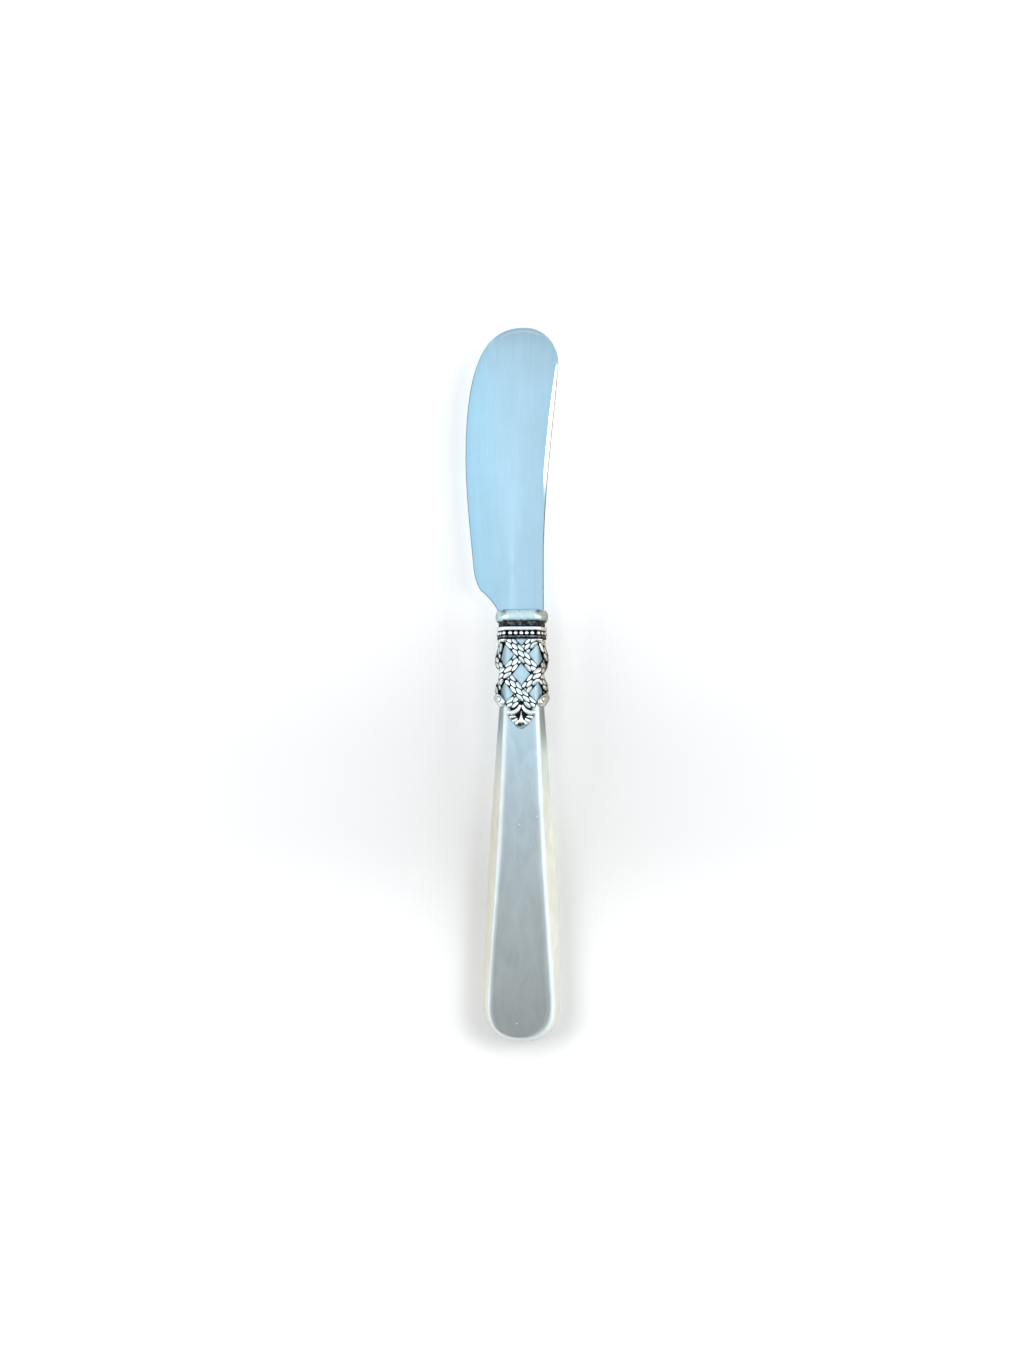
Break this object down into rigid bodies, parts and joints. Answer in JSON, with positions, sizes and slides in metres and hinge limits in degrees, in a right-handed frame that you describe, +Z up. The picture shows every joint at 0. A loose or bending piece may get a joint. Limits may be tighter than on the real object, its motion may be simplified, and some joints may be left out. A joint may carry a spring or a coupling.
{
  "type": "pate knife",
  "caption": "Small table spreader with a broad round-tipped steel blade, a smooth bolster cap, an openwork rope ferrule and a flared pearl handle.",
  "frame": {"origin": "centre of the flat on the back of the handle near the butt, which the knife rests on", "axes": "+X towards the spine of the blade, +Y along the knife from the butt to the tip, +Z up from the table"},
  "size_m": [0.0212, 0.1602, 0.0094],
  "materials": {
    "pearl_acrylic": "polished pearl acrylic, silvery on the faces and cream at the sides",
    "cement": "cast resin",
    "blade_steel": "finely brushed along the length",
    "bolster_silver": "satin silver plate",
    "antique_silver": "silver plate with black patina in the recesses"
  },
  "bodies": {
    "root": {"handle": "pearl_acrylic", "tang_cement": "cement", "blade": "blade_steel", "bolster_cap": "bolster_silver", "ferrule": "antique_silver"}
  },
  "joints": []
}
